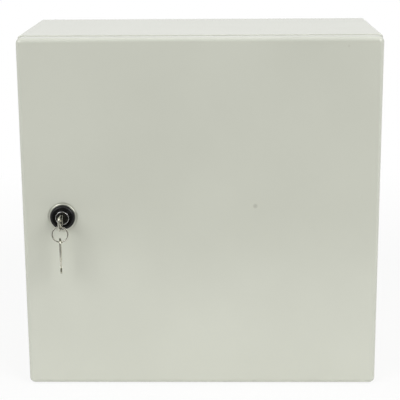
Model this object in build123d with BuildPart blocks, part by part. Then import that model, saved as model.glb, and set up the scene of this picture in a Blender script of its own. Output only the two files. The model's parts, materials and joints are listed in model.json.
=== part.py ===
from build123d import *
import os

os.makedirs("parts", exist_ok=True)

# All lengths are in millimetres and all turns in degrees.
# X runs to the right, Z up and the front faces -Y. The outside of the rear wall is the plane y = 0.
# A reach is a distance out from that rear plane towards the viewer.

# Whole enclosure
width = 400.0
height = 400.0
depth = 200.0
cut_overrun = 1.0       # how far a cut runs past the sheet it opens
slip = 0.15             # room round a screw or stud in the sheet it passes
thread_slip = 0.02      # room between a thread and its nut, drawn plain
running_slip = 0.06     # radial room of a turning fit
tip_bevel = 0.8         # bevel on the end of a stud or screw
pick_band = 0.01        # half width of the band in which an edge is picked by its place
half_turn = 180.0

# Body, one folded and welded sheet
sheet = 1.2
body_corner = 4.0
rear_bend = 3.0
rim_bend = 1.5
rim_width = 20.0
lip_height = 10.8
lip_bend = 1.0
mouth_corner = 8.0
wall_inset = 30.0       # wall bolts in from the sides of the body
wall_hole = 8.5

# Door, a folded pan
door_sheet = 1.5
door_depth = 16.4
door_gap = 4.6          # open joint between the door's flanges and the body's rim
door_margin = 0.8       # how much the door stands back from the body all round
door_corner = 6.0
door_bend = 5.0

# Door gasket, foamed in place over the lip
gasket_width = 10.0
gasket_round = 2.0
gasket_corner = 3.0

# Concealed hinges on the right
hinge_end = 75.0        # middle of a hinge in from the top or bottom
hinge_inset = 6.5       # axis in from the side of the body
hinge_drop = 8.0        # axis behind the inside of the door
pin_size = 5.0
pin_head = 7.6
pin_head_thick = 1.5
knuckle_radius = 4.0
knuckle_height = 12.0
knuckle_gap = 0.3
arm_width = 3.0
bracket_plate = 2.5
bracket_height = 34.0
bracket_gap = 2.0       # between the bracket and the lip
bracket_bend = 0.8
screw_size = 4.0
screw_head = 8.0
screw_spacing = 24.0
screw_length = 8.0
screw_socket = 2.5
screw_socket_depth = 1.2
screw_nut_flats = 7.0
screw_nut_thick = 3.2
leaf_plate = 2.0
leaf_height = 30.0
leaf_gap = 1.5          # between the leaf and the gasket
ear_thick = 2.5
notch_height = 38.0

# Mounting plate on shouldered studs
plate_margin = 25.0     # room between the plate and the sides of the body
plate_sheet = 2.0
plate_clip = 40.0       # corner cut off so that the wall bolts can be reached
plate_standoff = 15.0
plate_stud_side = 15.0  # studs in from the sides of the plate
plate_stud_end = 60.0   # studs in from the top and bottom of the plate
plate_stud = 8.0
plate_stud_shoulder = 14.0
plate_stud_length = 15.0
plate_washer = 17.0
plate_washer_thick = 1.6
plate_nut_flats = 13.0
plate_nut_thick = 6.5

# Gland plate closing the opening in the bottom
gland_side = 65.0       # plate in from the sides of the body
gland_end = 29.5        # plate in from the rear of the body and its rim
gland_sheet = 1.5
gland_seal = 2.0
gland_border = 17.0
gland_corner = 5.0
gland_stud = 5.0
gland_stud_length = 11.0
gland_stud_inset = 8.5
gland_nut_flats = 8.0
gland_nut_thick = 4.0

# Earth studs, on the rear wall under the mounting plate and on the door
earth_stud = 8.0
earth_place_share = -0.25   # sideways from the middle, as a share of the width
earth_height = 13.0     # above the bottom of the body
earth_length = 22.0
earth_washer = 17.0
earth_washer_thick = 1.6
earth_nut_flats = 13.0
earth_nut_thick = 6.5
door_earth_inset = 40.0 # in from the hinge side and the bottom of the body

# Lock, on the left at mid height
lock_inset = 46.0       # axis in from the side of the body
lock_level = 0.0
plug_ring_size = 15.0
plug_ring_wall = 0.7
plug_ring_round = 0.3
plug_ring_height = 4.6  # its front above the back of the housing's flange
plug_sink = 0.8         # plug face back from the ring's front
plug_step = 1.0         # plug in from the ring
groove_width = 1.6      # groove round the ring, at its top
groove_height = 2.6
crown_width = 1.3
crown_height = 4.4
shoulder_width = 3.5    # housing from its crown to its edge
housing_edge = 1.2
bezel_show = 2.7        # bezel beyond the housing
bezel_thick = 1.8
bezel_round = 1.0
head_seat_height = 0.8
barrel_wall = 4.5
barrel_flat = 1.0       # taken off two sides of the barrel
lock_nut_wall = 2.5
lock_nut_thick = 5.0
tang = 7.0
tang_short = 0.1
cam_thick = 3.0
cam_gap = 2.0           # between the cam and the back of the rim
cam_hub = 18.0
cam_width = 14.0
cam_length = 36.0
cam_round = 3.0
cam_washer = 12.0
cam_washer_thick = 1.0
cam_screw = 5.0
cam_screw_length = 10.0
cam_screw_flats = 8.0
cam_screw_head = 3.5

# Keys
blade_length = 15.0
blade_width = 7.5
blade_thick = 2.0
blade_root = 4.0        # how far the blade runs into the bow
blade_point = 2.3
blade_groove = 1.6
blade_groove_depth = 0.4
bitting_first = 6.6     # first cut, back from the shoulder
bitting_pitch = 1.6
bitting_shares = (0.10, 0.24, 0.14, 0.28)   # depth of each cut as a share of the blade's width
bow_length = 24.0
bow_width = 15.6
bow_corner = 3.5
bow_thick = 2.6
bow_bevel = 0.25
bow_hole = 11.2
bow_web = 2.2           # metal between the hole and the end of the bow
key_slip = 0.1          # room round the blade in the keyway
key_end_room = 1.0
shoulder_gap = 4.9
spare_turn = 8.0        # of the spare key about the upright, from square to the door

# Split ring, flat wire wound twice
ring_size = 18.5
ring_wire = 1.4
ring_wire_thick = 0.8
ring_pitch = 0.85
ring_turns = 2
ring_gap = 0.45         # between the wire and the edge of a bow's hole

# Values that follow from the dimensions above
rim_reach = depth - door_depth - door_gap
lip_reach = rim_reach + lip_height
door_inner = depth - door_sheet
door_width = width - 2 * door_margin
door_height = height - 2 * door_margin
mouth_width = width - 2 * rim_width
mouth_height = height - 2 * rim_width
hinge_x = width / 2 - hinge_inset
hinge_reach = door_inner - hinge_drop
hinge_rise = hinge_reach - rim_reach
hinge_levels = {"upper": height / 2 - hinge_end, "lower": hinge_end - height / 2}
bracket_left = mouth_width / 2 + sheet + bracket_gap
bracket_screw_x = (bracket_left + hinge_x) / 2
hinge_screw_spots = [
    (bracket_screw_x, level + side * screw_spacing / 2)
    for level in hinge_levels.values()
    for side in (-1, 1)
]
leaf_left = mouth_width / 2 + (sheet + gasket_width) / 2 + leaf_gap
leaf_right = door_width / 2 - door_bend
ear_top = knuckle_height / 2 + knuckle_gap + ear_thick
ear_width = leaf_right - hinge_x + knuckle_radius
notch_depth = door_depth - door_bend
plate_width = width - 2 * plate_margin
plate_height = height - 2 * plate_margin
plate_stud_x = plate_width / 2 - plate_stud_side
plate_stud_z = plate_height / 2 - plate_stud_end
plate_reach = sheet + plate_standoff
plate_front = plate_reach + plate_sheet
floor_level = sheet - height / 2
gland_width = width - 2 * gland_side
gland_depth = rim_reach - 2 * gland_end
gland_reach = rim_reach / 2
gland_top = floor_level + gland_seal + gland_sheet
entry_width = gland_width - 2 * gland_border
entry_depth = gland_depth - 2 * gland_border
gland_stud_x = (gland_width - 2 * gland_stud_inset) / 2
gland_stud_y = gland_depth - 2 * gland_stud_inset
lock_x = lock_inset - width / 2
plug_size = plug_ring_size - 2 * plug_step
groove_size = plug_ring_size + 2 * groove_width
crown_size = groove_size + 2 * crown_width
housing_size = crown_size + 2 * shoulder_width
bezel_size = housing_size + 2 * bezel_show
barrel_size = plug_size + 2 * barrel_wall
barrel_flats = barrel_size - 2 * barrel_flat
lock_nut_flats = barrel_size + 2 * lock_nut_wall
flange_reach = depth + bezel_thick
head_seat = flange_reach + head_seat_height
plug_ring_front = flange_reach + plug_ring_height
plug_face = plug_ring_front - plug_sink
plug_bore = plug_size + 2 * running_slip
cam_front = rim_reach - sheet - cam_gap
cam_back = cam_front - cam_thick
cam_screw_seat = cam_back - cam_washer_thick
housing_back = cam_front + knuckle_gap
bow_hole_centre = bow_length - bow_web - bow_hole / 2
key_reach = plug_ring_front + shoulder_gap
ring_reach = key_reach + bow_hole_centre
ring_radius = (ring_size - ring_wire) / 2
ring_drop = bow_hole / 2 - ring_wire / 2 - ring_gap   # wire below the hole's centre
ring_level = lock_level - ring_drop - ring_radius
spare_hole_level = ring_level - ring_radius - ring_drop


def keep(piece, name):
    piece.label = name
    export_step(piece, f"parts/{name}.step")


def hex_nuts(plane, spots, flats, thick, thread):
    with BuildPart() as nuts:
        with BuildSketch(plane):
            with Locations(*spots):
                RegularPolygon(flats / 2, 6, major_radius=False)
                Circle(thread / 2 + thread_slip, mode=Mode.SUBTRACT)
        extrude(amount=thick)
    return nuts.part


def washers(plane, spots, size, thick, thread):
    with BuildPart() as discs:
        with BuildSketch(plane):
            with Locations(*spots):
                Circle(size / 2)
                Circle(thread / 2 + slip, mode=Mode.SUBTRACT)
        extrude(amount=thick)
    return discs.part


def weld_studs(plane, spots, size, length):
    with BuildPart() as studs:
        with BuildSketch(plane):
            with Locations(*spots):
                Circle(size / 2)
        extrude(amount=length)
        ends = studs.faces().filter_by(plane)
        tips = ends.filter_by(lambda face: face.normal_at().dot(plane.z_dir) > 0)
        chamfer(tips.edges(), length=tip_bevel)
    return studs.part


def edges_at(builder, axis, place):
    return builder.edges().filter_by_position(axis, place - pick_band, place + pick_band)


def beyond_rim_middle(edge):
    middle = edge.center()
    return abs(middle.X) > (width - rim_width) / 2 or abs(middle.Z) > (height - rim_width) / 2


# Body: a box folded from sheet, open at the front, with a rim turned in and a lip turned forward
with BuildPart() as enclosure_body:
    with BuildSketch(Plane.XZ):
        RectangleRounded(width, height, body_corner)
    extrude(amount=rim_reach)
    fillet(enclosure_body.faces().sort_by(Axis.Y)[-1].edges(), radius=rear_bend)
    offset(amount=-sheet, openings=enclosure_body.faces().sort_by(Axis.Y)[0])
    with BuildSketch(Plane.XZ.offset(rim_reach - sheet)):
        RectangleRounded(width, height, body_corner)
        RectangleRounded(mouth_width, mouth_height, mouth_corner, mode=Mode.SUBTRACT)
    extrude(amount=sheet)
    with BuildSketch(Plane.XZ.offset(rim_reach - sheet)):
        RectangleRounded(mouth_width + 2 * sheet, mouth_height + 2 * sheet, mouth_corner + sheet)
        RectangleRounded(mouth_width, mouth_height, mouth_corner, mode=Mode.SUBTRACT)
    extrude(amount=lip_height + sheet)
    # bends of the rim: its outer edge, that edge inside, the root of the lip in front, and behind
    outer_edges = edges_at(enclosure_body, Axis.Y, -rim_reach).filter_by(beyond_rim_middle)
    fillet(outer_edges, radius=rim_bend)
    inner_edges = edges_at(enclosure_body, Axis.Y, sheet - rim_reach).filter_by(beyond_rim_middle)
    fillet(inner_edges, radius=rim_bend - sheet)
    front_edges = edges_at(enclosure_body, Axis.Y, -rim_reach)
    fillet(front_edges.filter_by(beyond_rim_middle, reverse=True), radius=lip_bend)
    back_edges = edges_at(enclosure_body, Axis.Y, sheet - rim_reach)
    fillet(back_edges.filter_by(beyond_rim_middle, reverse=True), radius=lip_bend + sheet)
    # wall bolts
    with BuildSketch(Plane.XZ.offset(-cut_overrun)):
        with GridLocations(width - 2 * wall_inset, height - 2 * wall_inset, 2, 2):
            Circle(wall_hole / 2)
    extrude(amount=sheet + 2 * cut_overrun, mode=Mode.SUBTRACT)
    # cable entry in the bottom
    with BuildSketch(Plane.XY.offset(floor_level + cut_overrun)):
        with Locations((0, -gland_reach)):
            RectangleRounded(entry_width, entry_depth, gland_corner)
    extrude(amount=-sheet - 2 * cut_overrun, mode=Mode.SUBTRACT)
    # hinge screws in the rim
    with BuildSketch(Plane.XZ.offset(rim_reach + cut_overrun)):
        with Locations(*hinge_screw_spots):
            Circle(screw_size / 2 + slip)
    extrude(amount=-sheet - 2 * cut_overrun, mode=Mode.SUBTRACT)
keep(enclosure_body.part, "enclosure_body")

# Door: a shallow pan with rounded front edges, notched on the right for the hinges
with BuildPart() as door_panel:
    with BuildSketch(Plane.XZ.offset(depth - door_depth)):
        RectangleRounded(door_width, door_height, door_corner)
    extrude(amount=door_depth)
    fillet(door_panel.faces().sort_by(Axis.Y)[0].edges(), radius=door_bend)
    offset(amount=-door_sheet, openings=door_panel.faces().sort_by(Axis.Y)[-1])
    with BuildSketch(Plane.YZ.offset(door_width / 2 + cut_overrun)):
        with Locations(*[(door_depth - depth + cut_overrun, level) for level in hinge_levels.values()]):
            Rectangle(notch_depth + cut_overrun, notch_height, align=(Align.MAX, Align.CENTER))
    extrude(amount=-door_sheet - 2 * cut_overrun, mode=Mode.SUBTRACT)
    with BuildSketch(Plane.XZ.offset(depth + cut_overrun)):
        with Locations((lock_x, lock_level)):
            Circle(barrel_size / 2 + slip)
            Rectangle(barrel_size + 2 * slip, barrel_flats + 2 * slip, mode=Mode.INTERSECT)
    extrude(amount=-door_sheet - 2 * cut_overrun, mode=Mode.SUBTRACT)
keep(door_panel.part, "door_panel")

with BuildPart() as door_gasket:
    loop_width = mouth_width + sheet
    loop_height = mouth_height + sheet
    with BuildSketch(Plane.XZ.offset(lip_reach)):
        RectangleRounded(loop_width + gasket_width, loop_height + gasket_width, gasket_corner + gasket_width)
        RectangleRounded(
            loop_width - gasket_width, loop_height - gasket_width, gasket_corner, mode=Mode.SUBTRACT
        )
    extrude(amount=door_inner - lip_reach)
    fillet(door_gasket.faces().sort_by(Axis.Y)[-1].edges(), radius=gasket_round)
keep(door_gasket.part, "door_gasket")


# Hinges: a bracket screwed to the rim, a leaf welded inside the door and a pin through both
def hinge_bracket(level):
    with BuildPart() as bracket:
        with BuildSketch(Plane.XY.offset(level - bracket_height / 2)):
            with Locations((bracket_left, -rim_reach)):
                Rectangle(hinge_x - bracket_left, bracket_plate, align=(Align.MIN, Align.MAX))
        extrude(amount=bracket_height)
        with BuildSketch(Plane.XY.offset(level - knuckle_height / 2)):
            with Locations((hinge_x, -hinge_reach)):
                Circle(knuckle_radius)
            with Locations((hinge_x - knuckle_radius, -rim_reach)):
                Rectangle(arm_width, hinge_rise, align=(Align.MIN, Align.MAX))
        extrude(amount=knuckle_height)
        bends = edges_at(bracket, Axis.Y, -rim_reach - bracket_plate).filter_by(Axis.Z)
        arm_left = hinge_x - knuckle_radius - pick_band
        arm_right = arm_left + arm_width + 2 * pick_band
        fillet(bends.filter_by_position(Axis.X, arm_left, arm_right), radius=bracket_bend)
        with BuildSketch(Plane.XY.offset(level - bracket_height / 2)):
            with Locations((hinge_x, -hinge_reach)):
                Circle(pin_size / 2 + running_slip)
        extrude(amount=bracket_height, mode=Mode.SUBTRACT)
        face = Plane.XZ.offset(rim_reach + bracket_plate)
        offsets = [side * screw_spacing / 2 for side in (-1, 1)]
        with Locations(*[face * Pos(bracket_screw_x, level + offset) for offset in offsets]):
            CounterSinkHole(screw_size / 2 + slip, screw_head / 2 + slip)
    return bracket.part


def hinge_leaf(level):
    with BuildPart() as leaf:
        with BuildSketch(Plane.XY.offset(level - leaf_height / 2)):
            with Locations((leaf_left, -door_inner)):
                Rectangle(leaf_right - leaf_left, leaf_plate, align=(Align.MIN, Align.MIN))
        extrude(amount=leaf_height)
        for bottom in (level - ear_top, level + ear_top - ear_thick):
            with BuildSketch(Plane.XY.offset(bottom)):
                with Locations((hinge_x, -hinge_reach)):
                    Circle(knuckle_radius)
                with Locations((hinge_x - knuckle_radius, -door_inner)):
                    Rectangle(ear_width, door_inner - hinge_reach, align=(Align.MIN, Align.MIN))
            extrude(amount=ear_thick)
        with BuildSketch(Plane.XY.offset(level - ear_top)):
            with Locations((hinge_x, -hinge_reach)):
                Circle(pin_size / 2 + thread_slip)
        extrude(amount=2 * ear_top, mode=Mode.SUBTRACT)
    return leaf.part


def hinge_pin(level):
    with BuildPart() as pin:
        with BuildSketch(Plane.XY.offset(level + ear_top)):
            with Locations((hinge_x, -hinge_reach)):
                Circle(pin_head / 2)
        extrude(amount=pin_head_thick)
        with BuildSketch(Plane.XY.offset(level + ear_top)):
            with Locations((hinge_x, -hinge_reach)):
                Circle(pin_size / 2)
        extrude(amount=-2 * ear_top - pin_head_thick)
        chamfer(pin.faces().sort_by(Axis.Z)[0].edges(), length=tip_bevel)
    return pin.part


for place, level in hinge_levels.items():
    keep(hinge_bracket(level), f"{place}_hinge_bracket")
    keep(hinge_leaf(level), f"{place}_hinge_leaf")
    keep(hinge_pin(level), f"{place}_hinge_pin")

with BuildPart() as hinge_screws:
    seat = Plane.XZ.offset(rim_reach + bracket_plate)
    head_height = (screw_head - screw_size) / 2
    with Locations(*[seat * Pos(*spot) for spot in hinge_screw_spots]):
        Cylinder(screw_size / 2, screw_length, align=(Align.CENTER, Align.CENTER, Align.MAX))
        Cone(screw_size / 2, screw_head / 2, head_height, align=(Align.CENTER, Align.CENTER, Align.MAX))
    with BuildSketch(seat):
        with Locations(*hinge_screw_spots):
            RegularPolygon(screw_socket / 2, 6, major_radius=False)
    extrude(amount=-screw_socket_depth, mode=Mode.SUBTRACT)
keep(hinge_screws.part, "hinge_screws")

nut_seat = Plane.XZ.offset(rim_reach - sheet - screw_nut_thick)
keep(hex_nuts(nut_seat, hinge_screw_spots, screw_nut_flats, screw_nut_thick, screw_size), "hinge_nuts")

# Mounting plate, held off the rear wall by the shoulders of four welded studs
plate_spots = [(x * plate_stud_x, z * plate_stud_z) for x in (-1, 1) for z in (-1, 1)]
with BuildPart() as mounting_plate:
    with BuildSketch(Plane.XZ.offset(plate_reach)) as plate_outline:
        Rectangle(plate_width, plate_height)
        chamfer(plate_outline.vertices(), length=plate_clip)
        with Locations(*plate_spots):
            Circle(plate_stud / 2 + slip, mode=Mode.SUBTRACT)
    extrude(amount=plate_sheet)
keep(mounting_plate.part, "mounting_plate")

with BuildPart() as plate_studs:
    with BuildSketch(Plane.XZ.offset(sheet)):
        with Locations(*plate_spots):
            Circle(plate_stud_shoulder / 2)
    extrude(amount=plate_standoff)
    add(weld_studs(Plane.XZ.offset(sheet), plate_spots, plate_stud, plate_standoff + plate_stud_length))
keep(plate_studs.part, "plate_studs")

plate_seat = Plane.XZ.offset(plate_front)
nut_seat = plate_seat.offset(plate_washer_thick)
keep(washers(plate_seat, plate_spots, plate_washer, plate_washer_thick, plate_stud), "plate_washers")
keep(hex_nuts(nut_seat, plate_spots, plate_nut_flats, plate_nut_thick, plate_stud), "plate_nuts")

# Gland plate inside the bottom, on a seal, held by welded studs
gland_floor = Plane.XY.offset(floor_level)
gland_spots = [
    (x * gland_stud_x, y * gland_stud_y / 2 - gland_reach)
    for x in (-1, 0, 1)
    for y in (-1, 1)
]
with BuildPart() as gland_gasket:
    with BuildSketch(gland_floor):
        with Locations((0, -gland_reach)):
            RectangleRounded(gland_width, gland_depth, gland_corner)
            RectangleRounded(entry_width, entry_depth, gland_corner, mode=Mode.SUBTRACT)
        with Locations(*gland_spots):
            Circle(gland_stud / 2 + slip, mode=Mode.SUBTRACT)
    extrude(amount=gland_seal)
keep(gland_gasket.part, "gland_gasket")

with BuildPart() as gland_plate:
    with BuildSketch(gland_floor.offset(gland_seal)):
        with Locations((0, -gland_reach)):
            RectangleRounded(gland_width, gland_depth, gland_corner)
        with Locations(*gland_spots):
            Circle(gland_stud / 2 + slip, mode=Mode.SUBTRACT)
    extrude(amount=gland_sheet)
keep(gland_plate.part, "gland_plate")

keep(weld_studs(gland_floor, gland_spots, gland_stud, gland_stud_length), "gland_studs")
nut_seat = Plane.XY.offset(gland_top)
keep(hex_nuts(nut_seat, gland_spots, gland_nut_flats, gland_nut_thick, gland_stud), "gland_nuts")

# Earth studs with washer and nut, on the rear wall inside and on the back of the door
wall_earth = Plane.XZ.offset(sheet)
door_earth = Plane.XZ.offset(door_inner).rotated((half_turn, 0, 0))
earth_places = {
    "earth": (wall_earth, (earth_place_share * width, earth_height - height / 2)),
    "door_earth": (door_earth, (width / 2 - door_earth_inset, height / 2 - door_earth_inset)),
}
for name, (plane, spot) in earth_places.items():
    nut_plane = plane.offset(earth_washer_thick)
    keep(weld_studs(plane, [spot], earth_stud, earth_length), f"{name}_stud")
    keep(washers(plane, [spot], earth_washer, earth_washer_thick, earth_stud), f"{name}_washer")
    keep(hex_nuts(nut_plane, [spot], earth_nut_flats, earth_nut_thick, earth_stud), f"{name}_nut")

# Lock: sections are drawn as radius and reach, then turned about the lock's axis
lock_section = Plane(origin=(lock_x, 0, lock_level), x_dir=(1, 0, 0), z_dir=(0, 0, -1))
lock_axis = Axis((lock_x, 0, lock_level), (0, -1, 0))
lock_spot = [(lock_x, lock_level)]

with BuildPart() as lock_bezel:
    with BuildSketch(Plane.XZ.offset(depth)):
        with Locations(*lock_spot):
            Circle(bezel_size / 2)
            Circle(barrel_size / 2 + slip, mode=Mode.SUBTRACT)
    extrude(amount=bezel_thick)
    fillet(lock_bezel.faces().sort_by(Axis.Y)[0].edges().sort_by(SortBy.LENGTH)[-1], radius=bezel_round)
keep(lock_bezel.part, "lock_bezel")

with BuildPart() as lock_housing:
    with BuildSketch(lock_section):
        with BuildLine():
            edge_top = (housing_size / 2, flange_reach + housing_edge)
            crown = (crown_size / 2, flange_reach + crown_height)
            Polyline(
                crown,
                (groove_size / 2, flange_reach + groove_height),
                (plug_ring_size / 2 + running_slip, flange_reach + groove_height),
                (plug_ring_size / 2 + running_slip, head_seat),
                (plug_bore / 2, head_seat),
                (plug_bore / 2, housing_back),
                (barrel_size / 2, housing_back),
                (barrel_size / 2, flange_reach),
                (housing_size / 2, flange_reach),
                edge_top,
            )
            TangentArc(edge_top, crown, tangent=(0, 1))
        make_face()
    revolve(axis=lock_axis)
    with BuildSketch(Plane.XZ.offset(housing_back)):
        for side in (-1, 1):
            with Locations((lock_x, lock_level + side * barrel_flats / 2)):
                outward = Align.MIN if side > 0 else Align.MAX
                Rectangle(barrel_size, barrel_size, align=(Align.CENTER, outward))
    extrude(amount=flange_reach - housing_back, mode=Mode.SUBTRACT)
keep(lock_housing.part, "lock_housing")

lock_nut_seat = Plane.XZ.offset(door_inner - lock_nut_thick)
keep(hex_nuts(lock_nut_seat, lock_spot, lock_nut_flats, lock_nut_thick, barrel_size), "lock_nut")

with BuildPart() as plug_ring:
    with BuildSketch(Plane.XZ.offset(head_seat)):
        with Locations(*lock_spot):
            Circle(plug_ring_size / 2)
            Circle(plug_ring_size / 2 - plug_ring_wall, mode=Mode.SUBTRACT)
    extrude(amount=plug_ring_front - head_seat)
    fillet(plug_ring.faces().sort_by(Axis.Y)[0].edges(), radius=plug_ring_round)
keep(plug_ring.part, "plug_ring")

with BuildPart() as lock_plug:
    head_radius = plug_ring_size / 2 - plug_ring_wall - thread_slip
    with BuildSketch(lock_section):
        with BuildLine():
            Polyline(
                (0, cam_front),
                (plug_size / 2, cam_front),
                (plug_size / 2, head_seat),
                (head_radius, head_seat),
                (head_radius, plug_face),
                (0, plug_face),
                close=True,
            )
        make_face()
    revolve(axis=lock_axis)
    with BuildSketch(Plane.XZ.offset(cam_back + tang_short)):
        with Locations(*lock_spot):
            Rectangle(tang, tang)
    extrude(amount=cam_thick - tang_short)
    # keyway
    with BuildSketch(Plane.XZ.offset(plug_face)):
        with Locations(*lock_spot):
            Rectangle(blade_thick + 2 * key_slip, blade_width + 2 * key_slip)
    extrude(amount=-blade_length - key_end_room, mode=Mode.SUBTRACT)
    # thread for the cam screw
    with BuildSketch(Plane.XZ.offset(cam_back)):
        with Locations(*lock_spot):
            Circle(cam_screw / 2 + thread_slip)
    extrude(amount=cam_screw_length, mode=Mode.SUBTRACT)
keep(lock_plug.part, "lock_plug")

with BuildPart() as lock_cam:
    with BuildSketch(Plane.XZ.offset(cam_back)) as cam_outline:
        with Locations(*lock_spot):
            Rectangle(cam_width, cam_length, align=(Align.CENTER, Align.MIN))
        fillet(cam_outline.vertices().group_by(Axis.Z)[-1], radius=cam_round)
        with Locations(*lock_spot):
            Circle(cam_hub / 2)
            Rectangle(tang + 2 * slip, tang + 2 * slip, mode=Mode.SUBTRACT)
    extrude(amount=cam_thick)
keep(lock_cam.part, "lock_cam")

washer_seat = Plane.XZ.offset(cam_screw_seat)
keep(washers(washer_seat, lock_spot, cam_washer, cam_washer_thick, cam_screw), "cam_washer")

with BuildPart() as cam_screw_piece:
    with BuildSketch(Plane.XZ.offset(cam_screw_seat)):
        with Locations(*lock_spot):
            RegularPolygon(cam_screw_flats / 2, 6, major_radius=False)
    extrude(amount=-cam_screw_head)
    with BuildSketch(Plane.XZ.offset(cam_screw_seat)):
        with Locations(*lock_spot):
            Circle(cam_screw / 2)
    extrude(amount=cam_screw_length)
keep(cam_screw_piece.part, "cam_screw")


# Keys: drawn from the shoulder, bow forward along the plane's x and blade back
def key_on(plane):
    with BuildPart() as piece:
        with BuildSketch(plane) as blade:
            with Locations((blade_root, 0)):
                Rectangle(blade_root + blade_length, blade_width, align=(Align.MAX, Align.CENTER))
            chamfer(blade.vertices().sort_by_distance(plane.origin)[-2:], length=blade_point)
            for order, share in enumerate(bitting_shares):
                root = -bitting_first - order * bitting_pitch
                cut = share * blade_width
                with BuildLine():
                    Polyline(
                        (root, blade_width / 2 - cut),
                        (root + bitting_pitch / 2, blade_width / 2),
                        (root - bitting_pitch / 2, blade_width / 2),
                        close=True,
                    )
                make_face(mode=Mode.SUBTRACT)
        extrude(amount=blade_thick / 2, both=True)
        with BuildSketch(plane.offset(blade_thick / 2)):
            with Locations((0, -blade_width / 4)):
                Rectangle(blade_length, blade_groove, align=(Align.MAX, Align.CENTER))
        extrude(amount=-blade_groove_depth, mode=Mode.SUBTRACT)
        with BuildSketch(plane):
            RectangleRounded(bow_length, bow_width, bow_corner, align=(Align.MIN, Align.CENTER))
            with Locations((bow_hole_centre, 0)):
                Circle(bow_hole / 2, mode=Mode.SUBTRACT)
        extrude(amount=bow_thick / 2, both=True)
        bow_faces = piece.faces().filter_by(plane).sort_by(SortBy.AREA)[-2:]
        chamfer(bow_faces.edges(), length=bow_bevel)
    return piece.part


key_plane = Plane(origin=(lock_x, -key_reach, lock_level), x_dir=(0, -1, 0), z_dir=(-1, 0, 0))
spare_shoulder = spare_hole_level - bow_hole_centre
spare_square = Plane(origin=(lock_x, -ring_reach, spare_shoulder), x_dir=(0, 0, 1), z_dir=(1, 0, 0))
spare_plane = spare_square.rotated((0, 0, spare_turn))
keep(key_on(key_plane), "key")
keep(key_on(spare_plane), "spare_key")

# Split ring: flat wire wound twice about an axis square to the door
with BuildPart() as key_ring:
    ring_height = ring_pitch * ring_turns
    ring_start = (lock_x, -ring_reach - ring_height / 2, ring_level)
    with BuildLine() as coil:
        Helix(ring_pitch, ring_height, ring_radius, center=ring_start, direction=(0, 1, 0))
    wire_start = coil.line @ 0
    with BuildSketch(Plane(origin=wire_start, x_dir=wire_start - Vector(ring_start), z_dir=coil.line % 0)):
        Rectangle(ring_wire, ring_wire_thick)
    sweep(path=coil.line, is_frenet=True)
keep(key_ring.part, "key_ring")
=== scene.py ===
import bpy
import bmesh
import json
import math
from mathutils import Matrix, Vector


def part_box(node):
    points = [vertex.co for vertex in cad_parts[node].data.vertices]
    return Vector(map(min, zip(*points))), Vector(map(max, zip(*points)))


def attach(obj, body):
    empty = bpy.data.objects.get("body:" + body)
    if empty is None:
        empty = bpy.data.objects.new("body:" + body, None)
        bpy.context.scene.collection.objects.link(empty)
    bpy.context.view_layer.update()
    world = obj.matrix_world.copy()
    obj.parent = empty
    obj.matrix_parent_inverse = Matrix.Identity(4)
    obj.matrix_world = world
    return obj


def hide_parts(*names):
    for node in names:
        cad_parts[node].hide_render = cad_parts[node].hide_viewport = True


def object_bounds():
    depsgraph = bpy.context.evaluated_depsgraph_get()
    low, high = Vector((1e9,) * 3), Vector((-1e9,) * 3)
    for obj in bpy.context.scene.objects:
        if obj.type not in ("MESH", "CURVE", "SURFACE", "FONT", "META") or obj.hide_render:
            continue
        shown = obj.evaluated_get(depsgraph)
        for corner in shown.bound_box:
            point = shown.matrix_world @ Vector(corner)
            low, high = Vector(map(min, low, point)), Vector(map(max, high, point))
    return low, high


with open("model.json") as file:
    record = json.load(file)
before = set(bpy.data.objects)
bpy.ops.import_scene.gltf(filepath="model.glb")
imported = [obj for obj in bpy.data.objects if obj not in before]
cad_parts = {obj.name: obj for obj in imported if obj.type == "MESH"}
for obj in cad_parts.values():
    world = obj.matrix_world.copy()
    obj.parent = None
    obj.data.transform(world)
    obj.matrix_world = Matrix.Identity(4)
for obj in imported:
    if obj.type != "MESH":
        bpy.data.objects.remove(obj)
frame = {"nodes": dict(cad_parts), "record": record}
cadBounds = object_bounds()
mm = 0.001
print("frame loaded:", len(frame["nodes"]), "nodes")


def linear(hexColour):
    channels = [int(hexColour[at:at + 2], 16) / 255 for at in (1, 3, 5)]
    return [c / 12.92 if c <= 0.04045 else ((c + 0.055) / 1.055) ** 2.4 for c in channels] + [1.0]


def deselectAll():
    bpy.ops.object.select_all(action="DESELECT")


def makeActive(piece):
    deselectAll()
    piece.select_set(True)
    bpy.context.view_layer.objects.active = piece


def nameActive(name):
    piece = bpy.context.object
    piece.name = piece.data.name = name
    return piece


def addNode(tree, kind, settings=None, links=None):
    node = tree.nodes.new(kind)
    for name, value in (settings or {}).items():
        if isinstance(name, int) or name in node.inputs:
            node.inputs[name].default_value = value
        else:
            setattr(node, name, value)
    for name, (source, output) in (links or {}).items():
        tree.links.new(source.outputs[output], node.inputs[name])
    return node


def addMath(tree, operation, first, second):
    return addNode(tree, "ShaderNodeMath", {"operation": operation}, {0: first, 1: second})


def featureScale(size):
    # the texture scale that gives features of this size in millimetres
    return 1 / (size * mm)


def addNoise(tree, coords, size, detail):
    settings = {"Scale": featureScale(size), "Detail": detail}
    return addNode(tree, "ShaderNodeTexNoise", settings, {"Vector": (coords, "Object")})


def addCells(tree, place, size):
    return addNode(tree, "ShaderNodeTexVoronoi", {"Scale": featureScale(size)}, {"Vector": place})


def addTone(tree, level, dark, light, stops=(0.3, 0.7)):
    # a colour between two shades, following a level
    tone = addNode(tree, "ShaderNodeValToRGB", None, {"Fac": level})
    for element, place, shade in zip(tone.color_ramp.elements, stops, (dark, light)):
        element.position = place
        element.color = linear(shade)
    return tone.outputs["Color"]


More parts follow.
